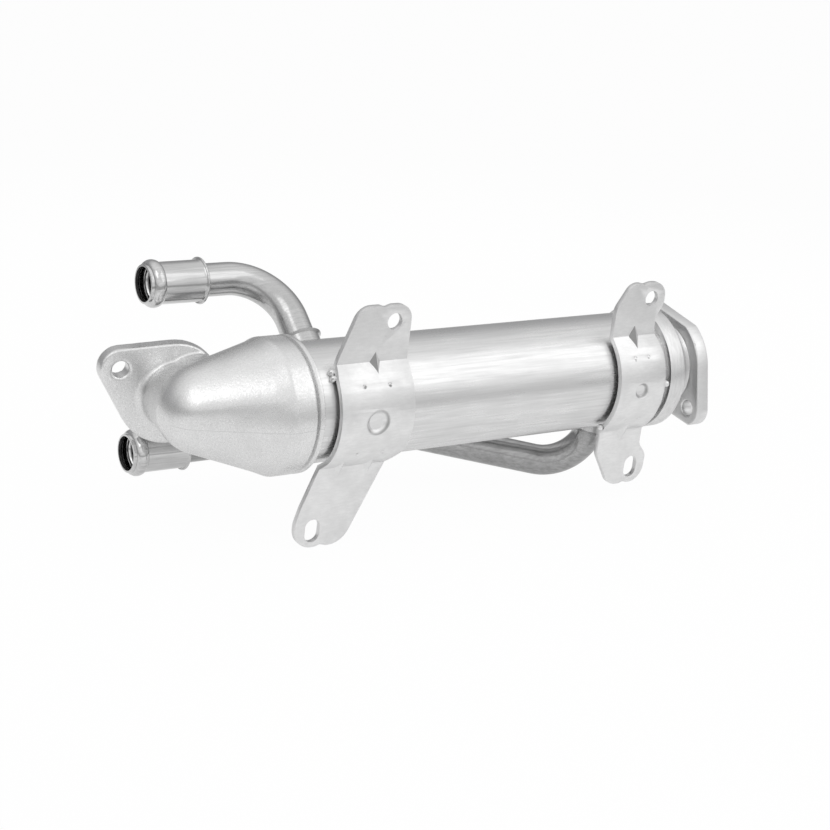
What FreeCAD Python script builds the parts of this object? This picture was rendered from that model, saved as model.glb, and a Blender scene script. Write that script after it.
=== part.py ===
import FreeCAD, Part
import math
import os

# Cooler for recirculated exhaust gas: a round steel shell with a bundle of gas tubes,
# a cast elbow where the gas enters, a flanged cap where it leaves, two bent coolant
# pipes with hose nipples, and two strap brackets.
# Millimetres. X is the shell axis and points out of the outlet flange, +Z is up, and the
# origin is the centre of the outlet flange's outer face. The brackets face -Y.

V = FreeCAD.Vector
AXIS = V(1, 0, 0)

# Shell
SHELL_R = 32.5
SHELL_WALL = 1.5
SHELL_LENGTH = 252.0
BRAZE_GAP = 0.05

# Outlet end: cap with neck, and the bolted flange
OUTLET_FLANGE_T = 8.4
OUTLET_FLANGE_R = 31.8
OUTLET_EAR_R = 10.0
OUTLET_FAR_EAR_R = 9.0
OUTLET_EAR_ANGLE = 34.9
OUTLET_TOP_FLAT = 29.9
OUTLET_TOP_SLOPE = 8.1
OUTLET_LOW_FLAT = 25.75
OUTLET_LOW_SLOPE = 5.0
OUTLET_CORNER_R = 3.0
OUTLET_CORNER_AT = 19.5
CAP_WALL = 3.5
CAP_R = SHELL_R + CAP_WALL
CAP_SKIRT = 11.5
CAP_FACE_T = 3.5
CAP_ROUND = 1.2
NECK_LENGTH = 12.7
NECK_R = 23.0
NECK_WALL = 2.5
NECK_WELD = 1.7

# Bolting that both flanges share
BOLT_REACH = 33.0
BOLT_R = 4.5
BOLT_CHAMFER = 0.8
EDGE_CHAMFER = 0.7

# Inlet casting: collar, oblique cone, ball shaped elbow, neck and flange
COLLAR_WALL = 4.15
COLLAR_R = SHELL_R + COLLAR_WALL
COLLAR_LENGTH = 12.4
SOCKET_DEPTH = 8.0
CAST_WALL = 4.0
COLLAR_WELD_LENGTH = 4.0
COLLAR_WELD = 2.7
COLLAR_WELD_R = SHELL_R + COLLAR_WELD
CONE_LENGTH = 31.1
CONE_SIDE = 8.5
CONE_DROP = -1.1
CONE_ROOT = 10.1
CONE_SWELL = 0.75
CONE_ROOT_R = COLLAR_R + CONE_SWELL
CONE_BLEND = 6.0
ELBOW_R = 23.8
INLET_SIDE = 33.5
INLET_BACK = 0.3
INLET_DROP = -4.3
NECK_SINK = 0.1
INLET_NECK_R = 17.0
NECK_FOOT = 3.0
HEEL_PLACE = 0.66
HEEL_SINK = 0.9
HEEL_ACROSS = 10.0
HEEL_UP = 7.0
HEEL_R = 15.5
INLET_YAW = 7.1
INLET_PITCH = 3.3
INLET_FLANGE_T = 8.0
BORE_LEAD = 4.0
INLET_FLANGE_R = 28.7
INLET_EAR_R = 11.3
INLET_EAR_ANGLE = 152.0

# Tube bundle inside the shell
SHEET_T = 3.0
SHEET_INSET = 2.0
TUBE_R = 4.0
TUBE_WALL = 0.5
TUBE_PITCH = 11.0
TUBE_RINGS = 2
TUBE_PROUD = 1.0
BAFFLE_COUNT = 3
BAFFLE_T = 1.5
BAFFLE_CUT = 0.45
RUNNING_GAP = 0.2

# Coolant pipes
PIPE_R = 9.0
PIPE_WALL = 1.2
PIPE_INSIDE = 1.5
STUB_R = 10.6
STUB_LIP_R = 12.0
STUB_HEIGHT = 6.0
STUB_LIP = 1.4
UPPER_PORT_INSET = 33.1
UPPER_PORT_ANGLE = 38.0
UPPER_STRAIGHT = 12.0
UPPER_BEND = 30.0
UPPER_REACH = SHELL_R + STUB_HEIGHT + UPPER_STRAIGHT + UPPER_BEND
LOWER_PORT_INSET = 26.7
LOWER_PORT_ANGLE = -81.0
LOWER_STRAIGHT = 3.2
LOWER_BEND = 26.0
LOWER_PORT_DEPTH = SHELL_R + STUB_HEIGHT + LOWER_STRAIGHT + LOWER_BEND
LOWER_KNEE_INSET = 148.4
LOWER_KNEE_BEND = 26.0
LOWER_PAST_FACE = 8.0
LOWER_SIDE = CONE_SIDE + INLET_SIDE + INLET_FLANGE_T + LOWER_PAST_FACE
LOWER_DROP = -43.4

# Hose nipples, measured from the mouth
NIPPLE_R = 11.3
NIPPLE_WALL = 1.2
NIPPLE_LENGTH = 33.5
NIPPLE_MOUTH_R = 10.6
NIPPLE_BEAD_R = 12.85
NIPPLE_BEAD_AT = 5.0
NIPPLE_BEAD_HALF = 3.4
NIPPLE_FLARE_R = 12.7
NIPPLE_FLARE_LENGTH = 2.6
NIPPLE_GRIP = 9.0
UPPER_MOUTH = 45.6
LOWER_MOUTH = 51.5

# Strap brackets
SHEET_METAL = 3.0
STRAP_GAP = 2.0
BEND_HALF_ANGLE = 50.2
BEND_R = 1.5
INLET_STRAP_INSET = 44.1
INLET_STRAP_WIDTH = 44.6
OUTLET_STRAP_INSET = 29.6
OUTLET_STRAP_WIDTH = 32.4
HOLE_R = 4.5
SLOT_LENGTH = 13.0
INLET_HOLE_X = 12.1
INLET_HOLE_RISE = 21.2
INLET_SLOT_X = -25.1
INLET_SLOT_DROP = 34.9
OUTLET_HOLE_X = 7.6
OUTLET_HOLE_RISE = 21.7
OUTLET_SLOT_X = 11.9
OUTLET_SLOT_DROP = 24.1
SPOT_R = 1.3
SPOT_DEPTH = 0.5
SPOT_ANGLE = 30.0
TACK_R = 1.9

# Places that follow from the sizes above
NECK_END = -OUTLET_FLANGE_T
CAP_FACE = NECK_END - NECK_LENGTH
CAP_END = CAP_FACE - CAP_SKIRT
SHELL_RIGHT = CAP_FACE - CAP_FACE_T
SHELL_LEFT = SHELL_RIGHT - SHELL_LENGTH
SHELL_BORE = SHELL_R - SHELL_WALL
COLLAR_END = SHELL_LEFT + SOCKET_DEPTH
CONE_START = COLLAR_END - COLLAR_LENGTH
ELBOW = V(CONE_START - CONE_LENGTH, CONE_SIDE, CONE_DROP)
INLET = ELBOW + V(INLET_BACK, INLET_SIDE, INLET_DROP)
INLET_BORE_R = INLET_NECK_R - CAST_WALL
PORT_R = PIPE_R + BRAZE_GAP
UPPER_PORT_X = SHELL_LEFT + UPPER_PORT_INSET
LOWER_PORT_X = SHELL_RIGHT - LOWER_PORT_INSET
STRAP_IN_R = SHELL_R + STRAP_GAP
STRAP_OUT_R = STRAP_IN_R + SHEET_METAL
INLET_STRAP_X = SHELL_LEFT + INLET_STRAP_INSET
OUTLET_STRAP_X = SHELL_RIGHT - OUTLET_STRAP_INSET
TAB_FRONT = -STRAP_OUT_R * math.cos(math.radians(BEND_HALF_ANGLE))
BEND_Z = STRAP_OUT_R * math.sin(math.radians(BEND_HALF_ANGLE))


def around(x, reach, angle):
    """A point at a distance from the shell axis, its angle counted from +Y towards +Z."""
    turn = math.radians(angle)
    return V(x, reach * math.cos(turn), reach * math.sin(turn))


def turned(points, base=V(0, 0, 0), direction=AXIS):
    """A solid of revolution from (along, radius) corners, set on a base point and direction."""
    corners = [V(along, 0, radius) for along, radius in points]
    face = Part.Face(Part.makePolygon(corners + corners[:1]))
    solid = face.revolve(V(0, 0, 0), AXIS, 360)
    solid.Placement = FreeCAD.Placement(base, FreeCAD.Rotation(AXIS, direction))
    return Part.Solid(solid) if solid.ShapeType != "Solid" else solid


def rod(radius, start, end):
    """A plain round bar between two points."""
    run = end - start
    return Part.makeCylinder(radius, run.Length, start, run)


def tube(outer, inner, left, right):
    """A hollow cylinder on the shell axis."""
    return turned([(left, inner), (right, inner), (right, outer), (left, outer)])


def rounded(corners, closed=True):
    """A wire through (point, radius) corners, rounded as far as the sides leave room."""
    count = len(corners)
    points = [point for point, radius in corners]
    reach, halves = [], []
    for index, (point, radius) in enumerate(corners):
        before, after = points[index - 1] - point, points[(index + 1) % count] - point
        half = before.getAngle(after) / 2
        is_end = not closed and index in (0, count - 1)
        halves.append(half)
        reach.append(0.0 if is_end else radius / math.tan(half))
    fit = [1.0] * count
    for index in range(count if closed else count - 1):
        following = (index + 1) % count
        wanted = reach[index] + reach[following]
        room = 0.98 * (points[following] - points[index]).Length
        if wanted > room:
            fit[index] = min(fit[index], room / wanted)
            fit[following] = min(fit[following], room / wanted)
    edges, ends = [], []
    for index, point in enumerate(points):
        used = reach[index] * fit[index]
        before = (points[index - 1] - point).normalize()
        after = (points[(index + 1) % count] - point).normalize()
        ends.append((point + before * used, point + after * used))
        if used > 0:
            radius = used * math.tan(halves[index])
            middle = (before + after).normalize() * (radius / math.sin(halves[index]) - radius)
            edges.append((index, Part.Arc(ends[index][0], point + middle, ends[index][1])))
    arcs = dict(edges)
    edges = []
    for index in range(count):
        if index in arcs:
            edges.append(arcs[index].toShape())
        if closed or index < count - 1:
            following = ends[(index + 1) % count][0]
            edges.append(Part.LineSegment(ends[index][1], following).toShape())
    return Part.Wire(edges)


def swept(path, outer, inner):
    """A pipe along a wire of straight and round edges."""
    pieces = []
    for edge in path.Edges:
        start = edge.valueAt(edge.FirstParameter)
        way = edge.tangentAt(edge.FirstParameter)
        ring = Part.Face(Part.Wire(Part.makeCircle(outer, start, way)))
        ring = ring.cut(Part.Face(Part.Wire(Part.makeCircle(inner, start, way))))
        if isinstance(edge.Curve, Part.Circle):
            turn = math.degrees(edge.LastParameter - edge.FirstParameter)
            pieces.append(ring.revolve(edge.Curve.Center, edge.Curve.Axis, turn))
        else:
            pieces.append(ring.extrude(way * edge.Length))
    return biggest(pieces[0].fuse(pieces[1:]).removeSplitter())


def biggest(shape):
    """The one solid that a cut or a fusion leaves."""
    return max(shape.Solids, key=lambda solid: solid.Volume)


def hull_wire(circles):
    """The outline round circles of the YZ plane, (y, z, radius) in anticlockwise order."""
    count = len(circles)
    normals = []
    for index, (y, z, radius) in enumerate(circles):
        next_y, next_z, next_radius = circles[(index + 1) % count]
        run = V(0, next_y - y, next_z - z)
        along = (radius - next_radius) / run.Length
        way = V(run).normalize()
        normals.append(way * along + V(0, way.z, -way.y) * math.sqrt(1 - along ** 2))
    edges = []
    for index, (y, z, radius) in enumerate(circles):
        centre = V(0, y, z)
        before, after = normals[index - 1], normals[index]
        turn = (math.atan2(after.z, after.y) - math.atan2(before.z, before.y)) % (2 * math.pi)
        middle = math.atan2(before.z, before.y) + turn / 2
        edges.append(Part.Arc(centre + before * radius,
                              centre + V(0, math.cos(middle), math.sin(middle)) * radius,
                              centre + after * radius).toShape())
        following = V(0, *circles[(index + 1) % count][:2]) + after * circles[(index + 1) % count][2]
        edges.append(Part.LineSegment(centre + after * radius, following).toShape())
    return Part.Wire(edges)


def two_bolt_plate(circles, flats, angle, thickness):
    """A flange plate in the YZ plane: the outline round circles, cut by flats, with two holes."""
    outline = Part.Face(hull_wire(circles))
    for slope, distance in flats:
        room = 4 * BOLT_REACH
        waste = Part.makePlane(room, room, V(0, -room / 2, distance), AXIS, V(0, 1, 0))
        waste.rotate(V(0, 0, 0), AXIS, slope)
        outline = outline.cut(waste)
    plate = outline.Faces[0].extrude(V(thickness, 0, 0))
    rims = [edge for edge in plate.Edges if edge.BoundBox.XLength < 1e-6]
    plate = plate.makeChamfer(EDGE_CHAMFER, rims)
    for turn in (angle, angle + 180):
        hole = turned([(-1, 0), (-1, BOLT_R + BOLT_CHAMFER + 1), (BOLT_CHAMFER, BOLT_R),
                       (thickness + 1, BOLT_R), (thickness + 1, 0)], around(0, BOLT_REACH, turn))
        plate = plate.cut(hole)
    return plate


def shell_tube():
    body = tube(SHELL_R, SHELL_BORE, SHELL_LEFT, SHELL_RIGHT)
    for x, angle in ((UPPER_PORT_X, UPPER_PORT_ANGLE), (LOWER_PORT_X, LOWER_PORT_ANGLE)):
        body = body.cut(rod(PORT_R, V(x, 0, 0), around(x, 2 * SHELL_R, angle)))
    return body


def outlet_cap():
    """Skirt over the shell's end and a flat shoulder that holds the neck."""
    skirt_bore = SHELL_R + BRAZE_GAP
    neck_bore = NECK_R + BRAZE_GAP
    return turned([
        (CAP_END, skirt_bore), (SHELL_RIGHT, skirt_bore), (SHELL_RIGHT, neck_bore),
        (CAP_FACE, neck_bore), (CAP_FACE, CAP_R - CAP_ROUND),
        (CAP_FACE - 0.3 * CAP_ROUND, CAP_R - 0.3 * CAP_ROUND),
        (CAP_FACE - CAP_ROUND, CAP_R), (CAP_END + 0.5, CAP_R), (CAP_END, CAP_R - 0.5)])


def outlet_neck():
    """Pipe from the cap into the flange, with its weld on the flange's back."""
    tip = NECK_END + OUTLET_FLANGE_T / 2
    bore = NECK_R - NECK_WALL
    return turned([
        (SHELL_RIGHT, bore), (tip, bore), (tip, NECK_R), (NECK_END, NECK_R),
        (NECK_END, NECK_R + NECK_WELD), (NECK_END - NECK_WELD, NECK_R), (SHELL_RIGHT, NECK_R)])


def outlet_flange():
    far = around(0, BOLT_REACH, OUTLET_EAR_ANGLE)
    slope = math.radians(OUTLET_TOP_SLOPE)
    corner = V(0, OUTLET_CORNER_AT * math.cos(slope), OUTLET_CORNER_AT * math.sin(slope))
    corner += V(0, -math.sin(slope), math.cos(slope)) * (OUTLET_TOP_FLAT - OUTLET_CORNER_R)
    circles = [(far.y, far.z, OUTLET_FAR_EAR_R), (corner.y, corner.z, OUTLET_CORNER_R),
               (0, 0, OUTLET_FLANGE_R), (-far.y, -far.z, OUTLET_EAR_R), (0, 0, OUTLET_FLANGE_R)]
    flats = [(OUTLET_TOP_SLOPE, OUTLET_TOP_FLAT), (180 + OUTLET_LOW_SLOPE, OUTLET_LOW_FLAT)]
    plate = two_bolt_plate(circles, flats, OUTLET_EAR_ANGLE, OUTLET_FLANGE_T)
    seat = OUTLET_FLANGE_T / 2
    bore = turned([(-1, 0), (-1, NECK_R + BRAZE_GAP), (seat, NECK_R + BRAZE_GAP),
                   (seat, NECK_R - NECK_WALL), (OUTLET_FLANGE_T + 1, NECK_R - NECK_WALL),
                   (OUTLET_FLANGE_T + 1, 0)])
    plate = plate.cut(bore)
    plate.translate(V(NECK_END, 0, 0))
    return plate


def cone_to_ball(first, first_r, ball, ball_r, start):
    """A cone tangent to two balls, from a distance along their line, closed by the second ball."""
    run = ball - first
    lean = math.asin((first_r - ball_r) / run.Length)
    touch = V(run.Length + ball_r * math.sin(lean), 0, ball_r * math.cos(lean))
    rim = V(start, 0, (first_r - start * math.sin(lean)) / math.cos(lean))
    pole = V(run.Length + ball_r, 0, 0)
    turn = (math.pi / 2 + lean) / 2
    between = V(run.Length + ball_r * math.sin(turn), 0, ball_r * math.cos(turn))
    edges = [Part.LineSegment(V(start, 0, 0), rim), Part.LineSegment(rim, touch),
             Part.Arc(touch, between, pole), Part.LineSegment(pole, V(start, 0, 0))]
    face = Part.Face(Part.Wire([edge.toShape() for edge in edges]))
    solid = face.revolve(V(0, 0, 0), AXIS, 360)
    solid.Placement = FreeCAD.Placement(first, FreeCAD.Rotation(AXIS, run))
    return solid, rim.z


def casting_core(shrink, from_x):
    """Collar, cone, elbow ball and neck as one round body, thinner by shrink for the inside."""
    start, root = V(CONE_START, 0, 0), V(CONE_START + CONE_ROOT, 0, 0)
    along = (ELBOW - root).normalize()
    blend = CONE_ROOT + CONE_BLEND
    cone, rim_r = cone_to_ball(root, CONE_ROOT_R - shrink, ELBOW, ELBOW_R - shrink, blend)
    rings = [Part.makeCircle(COLLAR_R - shrink, start, V(-1, 0, 0)),
             Part.makeCircle(rim_r, root + along * blend, along)]
    shoulder = Part.makeLoft([Part.Wire(ring) for ring in rings], True, False)
    collar = rod(COLLAR_R - shrink, start, V(from_x, 0, 0))
    neck_run = INLET - ELBOW
    ball_r, neck_r = ELBOW_R - shrink - NECK_SINK, INLET_NECK_R - shrink
    taper = math.atan2(ball_r - neck_r, neck_run.Length)
    foot_r = ball_r * math.cos(taper)
    foot = ball_r * math.sin(taper)
    neck = Part.makeCone(foot_r, neck_r, neck_run.Length - foot,
                         ELBOW + V(neck_run).normalize() * foot, neck_run)
    return collar.fuse([shoulder, cone, neck])


def inlet_normal():
    yaw, pitch = math.radians(INLET_YAW), math.radians(INLET_PITCH)
    return V(math.sin(yaw) * math.cos(pitch), math.cos(yaw) * math.cos(pitch), math.sin(pitch))


def inlet_casting():
    """One casting: collar, oblique cone, elbow and two bolt flange, hollow throughout."""
    outer = casting_core(0, COLLAR_END)
    ear = around(0, BOLT_REACH, 180 - INLET_EAR_ANGLE)
    circles = [(ear.y, ear.z, INLET_EAR_R), (0, 0, INLET_FLANGE_R),
               (-ear.y, -ear.z, INLET_EAR_R), (0, 0, INLET_FLANGE_R)]
    plate = two_bolt_plate(circles, [], 180 - INLET_EAR_ANGLE, INLET_FLANGE_T)
    normal = inlet_normal()
    across = V(0, 0, 1).cross(normal).normalize()
    frame = FreeCAD.Matrix(normal.x, across.x, normal.cross(across).x, INLET.x,
                           normal.y, across.y, normal.cross(across).y, INLET.y,
                           normal.z, across.z, normal.cross(across).z, INLET.z,
                           0, 0, 0, 1)
    plate.Placement = FreeCAD.Placement(frame)
    foot = turned([(-NECK_FOOT, 0), (-NECK_FOOT, INLET_NECK_R - 0.2),
                   (-0.3 * NECK_FOOT, INLET_NECK_R + 0.3 * NECK_FOOT), (0.2, INLET_NECK_R + NECK_FOOT),
                   (0.2, 0)], INLET, normal)
    heel_from = V(CONE_START + CONE_ROOT, 0, 0) * (1 - HEEL_PLACE) + ELBOW * HEEL_PLACE
    heel_r = CONE_ROOT_R * (1 - HEEL_PLACE) + ELBOW_R * HEEL_PLACE - HEEL_SINK
    heel_to = INLET - across * HEEL_ACROSS + normal.cross(across) * HEEL_UP
    heel_run = heel_to - heel_from
    heel = Part.makeCone(heel_r, HEEL_R, heel_run.Length, heel_from, heel_run)
    outer = outer.fuse([plate, foot, heel])
    weld = turned([(COLLAR_END, SHELL_R + BRAZE_GAP), (COLLAR_END + COLLAR_WELD_LENGTH, SHELL_R + BRAZE_GAP),
                   (COLLAR_END, COLLAR_WELD_R)])
    outer = outer.fuse(weld)
    inner = casting_core(CAST_WALL, SHELL_LEFT)
    socket = rod(SHELL_R + BRAZE_GAP, V(SHELL_LEFT, 0, 0), V(COLLAR_END + 1, 0, 0))
    bore = rod(INLET_BORE_R, INLET - normal * BORE_LEAD, INLET + normal * (INLET_FLANGE_T + 1))
    return biggest(outer.cut(inner.fuse([socket, bore])).removeSplitter())


def tube_places():
    """Hexagonal pattern: the middle tube and its rings."""
    rise = TUBE_PITCH * math.sqrt(3) / 2
    places = []
    for row in range(-TUBE_RINGS, TUBE_RINGS + 1):
        in_row = 2 * TUBE_RINGS + 1 - abs(row)
        for index in range(in_row):
            places.append(((index - (in_row - 1) / 2) * TUBE_PITCH, row * rise))
    return places


def drilled(plate, left, right, radius):
    """The plate with a hole for each gas tube."""
    holes = [rod(radius, V(left - 1, y, z), V(right + 1, y, z)) for y, z in tube_places()]
    return plate.cut(holes)


def tube_sheet(left):
    right = left + SHEET_T
    plate = rod(SHELL_BORE - BRAZE_GAP, V(left, 0, 0), V(right, 0, 0))
    return drilled(plate, left, right, TUBE_R + BRAZE_GAP)


INLET_SHEET_X = SHELL_LEFT + SHEET_INSET
OUTLET_SHEET_X = SHELL_RIGHT - SHEET_INSET - SHEET_T


def gas_tube(y, z):
    left = V(INLET_SHEET_X - TUBE_PROUD, y, z)
    right = V(OUTLET_SHEET_X + SHEET_T + TUBE_PROUD, y, z)
    return rod(TUBE_R, left, right).cut(rod(TUBE_R - TUBE_WALL, left, right))


def baffle_plate(index):
    """A round plate with one side cut off, turned over from one baffle to the next."""
    span = OUTLET_SHEET_X - INLET_SHEET_X
    left = INLET_SHEET_X + span * (index + 1) / (BAFFLE_COUNT + 1)
    radius = SHELL_BORE - RUNNING_GAP
    plate = rod(radius, V(left, 0, 0), V(left + BAFFLE_T, 0, 0))
    side = 1 if index % 2 else -1
    kept = radius * (1 + BAFFLE_CUT)
    low = -radius if side > 0 else radius - kept
    window = Part.makeBox(BAFFLE_T, 2 * radius, kept, V(left, -radius, low))
    return drilled(plate.common(window), left, left + BAFFLE_T, TUBE_R + RUNNING_GAP / 2)


def nipple(mouth):
    """A formed hose end on the X direction: mouth, bead, straight grip and rear flare."""
    wall = NIPPLE_WALL
    bead_in, bead_out = NIPPLE_BEAD_AT - NIPPLE_BEAD_HALF, NIPPLE_BEAD_AT + NIPPLE_BEAD_HALF
    crown = NIPPLE_BEAD_HALF * 0.45
    flare = NIPPLE_LENGTH - NIPPLE_FLARE_LENGTH
    outside = [
        (0, NIPPLE_MOUTH_R - 0.4), (0.4, NIPPLE_MOUTH_R), (bead_in, NIPPLE_MOUTH_R + 0.3),
        (NIPPLE_BEAD_AT - crown, NIPPLE_BEAD_R - 0.35), (NIPPLE_BEAD_AT, NIPPLE_BEAD_R),
        (NIPPLE_BEAD_AT + crown, NIPPLE_BEAD_R - 0.35), (bead_out, NIPPLE_R + 0.1),
        (bead_out + 0.8, NIPPLE_R), (flare, NIPPLE_R), (flare + 1.0, NIPPLE_R + 0.3),
        (NIPPLE_LENGTH - 0.8, NIPPLE_FLARE_R), (NIPPLE_LENGTH - 0.2, NIPPLE_FLARE_R),
        (NIPPLE_LENGTH, NIPPLE_FLARE_R - 0.4)]
    inside = [
        (NIPPLE_LENGTH, PORT_R), (NIPPLE_LENGTH - wall, PORT_R),
        (NIPPLE_LENGTH - wall, NIPPLE_R - wall), (bead_out, NIPPLE_R - wall),
        (NIPPLE_BEAD_AT + crown, NIPPLE_BEAD_R - wall - 0.35),
        (NIPPLE_BEAD_AT - crown, NIPPLE_BEAD_R - wall - 0.35), (bead_in, NIPPLE_MOUTH_R - wall + 0.3),
        (0, NIPPLE_MOUTH_R - wall)]
    return turned(outside + inside, mouth)


UPPER_AXIS = around(0, UPPER_REACH, UPPER_PORT_ANGLE)
UPPER_MOUTH_AT = V(SHELL_LEFT - UPPER_MOUTH, UPPER_AXIS.y, UPPER_AXIS.z)
LOWER_MOUTH_AT = V(SHELL_LEFT - LOWER_MOUTH, LOWER_SIDE, LOWER_DROP)


def coolant_pipe(corners):
    """A bent pipe: the first corner is in the nipple, the last one inside the shell."""
    return swept(rounded(corners, closed=False), PIPE_R, PIPE_R - PIPE_WALL)


def upper_coolant_pipe():
    start = UPPER_MOUTH_AT + V(NIPPLE_LENGTH - NIPPLE_GRIP, 0, 0)
    corner = around(UPPER_PORT_X, UPPER_REACH, UPPER_PORT_ANGLE)
    end = around(UPPER_PORT_X, SHELL_BORE - PIPE_INSIDE, UPPER_PORT_ANGLE)
    return coolant_pipe([(start, 0), (corner, UPPER_BEND), (end, 0)])


def lower_coolant_pipe():
    start = LOWER_MOUTH_AT + V(NIPPLE_LENGTH - NIPPLE_GRIP, 0, 0)
    knee = V(SHELL_RIGHT - LOWER_KNEE_INSET, LOWER_SIDE, LOWER_DROP)
    corner = around(LOWER_PORT_X, LOWER_PORT_DEPTH, LOWER_PORT_ANGLE)
    end = around(LOWER_PORT_X, SHELL_BORE - PIPE_INSIDE, LOWER_PORT_ANGLE)
    return coolant_pipe([(start, 0), (knee, LOWER_KNEE_BEND), (corner, LOWER_BEND), (end, 0)])


def stub_collar(x, angle):
    """A short lipped ring that carries a pipe where it enters the shell."""
    low = SHELL_R * 0.8
    high = SHELL_R + STUB_HEIGHT
    ring = turned([(low, PORT_R), (high, PORT_R), (high, STUB_LIP_R - 0.3),
                   (high - 0.3, STUB_LIP_R), (high - 0.3 * STUB_LIP, STUB_LIP_R),
                   (high - STUB_LIP, STUB_R), (low, STUB_R)],
                  V(x, 0, 0), around(0, 1, angle))
    return biggest(ring.cut(rod(SHELL_R, V(x - SHELL_R, 0, 0), V(x + SHELL_R, 0, 0))))


def strap_profile():
    """The bent sheet seen along the shell axis, tall enough for the longest tab."""
    tall = 90.0
    back = TAB_FRONT + SHEET_METAL
    inner_z = math.sqrt(STRAP_IN_R ** 2 - back ** 2)
    outer = Part.Arc(V(0, TAB_FRONT, -BEND_Z), V(0, -STRAP_OUT_R, 0), V(0, TAB_FRONT, BEND_Z))
    inner = Part.Arc(V(0, back, inner_z), V(0, -STRAP_IN_R, 0), V(0, back, -inner_z))
    edges = [outer.toShape(), Part.LineSegment(V(0, TAB_FRONT, BEND_Z), V(0, TAB_FRONT, tall)).toShape(),
             Part.LineSegment(V(0, TAB_FRONT, tall), V(0, back, tall)).toShape(),
             Part.LineSegment(V(0, back, tall), V(0, back, inner_z)).toShape(), inner.toShape(),
             Part.LineSegment(V(0, back, -inner_z), V(0, back, -tall)).toShape(),
             Part.LineSegment(V(0, back, -tall), V(0, TAB_FRONT, -tall)).toShape(),
             Part.LineSegment(V(0, TAB_FRONT, -tall), V(0, TAB_FRONT, -BEND_Z)).toShape()]
    return Part.Face(Part.Wire(edges))


def gusset(x, sign, half_width, half_height):
    """A pointed rib pressed across a bend: two facets that meet in a ridge."""
    depth = 0.4
    bend = V(x, TAB_FRONT + depth, sign * (BEND_Z - depth))
    on_tab = V(x, TAB_FRONT + depth, sign * (BEND_Z + half_height))
    low_z = BEND_Z - half_height
    on_strap = V(x, -math.sqrt(STRAP_OUT_R ** 2 - low_z ** 2) + depth, sign * low_z)
    left, right = bend - V(half_width, 0, 0), bend + V(half_width, 0, 0)
    corners = [on_tab, on_strap, left, right]
    faces = []
    for skip in range(4):
        ring = [corner for index, corner in enumerate(corners) if index != skip]
        faces.append(Part.Face(Part.makePolygon(ring + ring[:1])))
    return Part.Solid(Part.Shell(faces))


def bracket(centre, outline, holes, gussets, dimple_r, spot_reach, tacks):
    """A strap that stands off the shell on its pressed dimple, with a tab above and below."""
    long = 140.0
    sheet = strap_profile().extrude(V(long, 0, 0))
    sheet.translate(V(centre - long / 2, 0, 0))
    corners = [(V(centre + x, -long / 2, z), radius) for x, z, radius in outline]
    cutter = Part.Face(rounded(corners)).extrude(V(0, long, 0))
    sheet = sheet.common(cutter)
    for x, z, length in holes:
        low, high = V(centre + x, -long / 2, z - length / 2), V(centre + x, -long / 2, z + length / 2)
        across = V(0, long, 0)
        sheet = sheet.cut(rod(HOLE_R, low, low + across))
        if length > 0:
            sheet = sheet.cut(rod(HOLE_R, high, high + across))
            sheet = sheet.cut(Part.makeBox(2 * HOLE_R, long, length, low - V(HOLE_R, 0, 0)))
    for x, sign, half_width, half_height in gussets:
        sheet = sheet.fuse(gusset(centre + x, sign, half_width, half_height))
    face = V(centre, -STRAP_OUT_R, 0)
    pad = turned([(0, 0), (0, dimple_r), (SHEET_METAL + STRAP_GAP + 0.5, dimple_r * 0.7),
                  (SHEET_METAL + STRAP_GAP + 0.5, 0)], face + V(0, 0.5, 0), V(0, 1, 0))
    sheet = sheet.fuse(pad)
    dent = turned([(-1, 0), (-1, dimple_r + 0.6), (0, dimple_r), (STRAP_GAP, dimple_r * 0.62),
                   (STRAP_GAP, 0)], face, V(0, 1, 0))
    sheet = sheet.cut(dent)
    for side in (-1, 1):
        for turn in (-SPOT_ANGLE, SPOT_ANGLE):
            out = around(0, 1, 180 - turn)
            spot = V(centre + side * spot_reach, 0, 0) + out * (STRAP_OUT_R - SPOT_DEPTH)
            sheet = sheet.cut(Part.makeCone(SPOT_R * 0.6, SPOT_R * 1.4, SPOT_DEPTH * 2, spot, out))
    for x, turn, height in tacks:
        at = around(centre + x, SHELL_R + height, 180 - turn)
        sheet = sheet.fuse(Part.makeSphere(TACK_R, at))
    return biggest(sheet.cut(rod(SHELL_R, V(centre - long, 0, 0), V(centre + long, 0, 0))))


def inlet_side_bracket():
    half = INLET_STRAP_WIDTH / 2
    up, low = BEND_Z, -BEND_Z
    outline = [
        (half, up - 12, 0), (half, up + 30.3, 8.6), (9.5, up + 30.3, 3), (6, up + 29.1, 3),
        (2.5, up + 30.3, 3), (-9.3, up + 30.3, 10), (-half + 2.2, up + 3, 20), (-half, up - 6, 0),
        (-half, low + 6, 12), (-33.6, low - 21.7, 30), (-36.0, low - 30.2, 12),
        (-36.0, low - 44.4, 11), (-23, low - 44.4, 3), (-19.5, low - 43.4, 3),
        (-16, low - 44.4, 3), (-6.2, low - 44.6, 13), (15.7, low, 6), (half, low + 9, 5)]
    holes = [(INLET_HOLE_X, up + INLET_HOLE_RISE, 0),
             (INLET_SLOT_X, low - INLET_SLOT_DROP, SLOT_LENGTH - 2 * HOLE_R)]
    gussets = [(2.2, 1, 4.0, 6.2), (-13.0, -1, 3.6, 6.0), (5.0, -1, 3.6, 6.0)]
    tacks = [(-half - 0.6, 41, 1.0), (-half - 0.6, 47, 1.0)]
    return bracket(INLET_STRAP_X, outline, holes, gussets, 7.2, 7.8, tacks)


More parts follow.
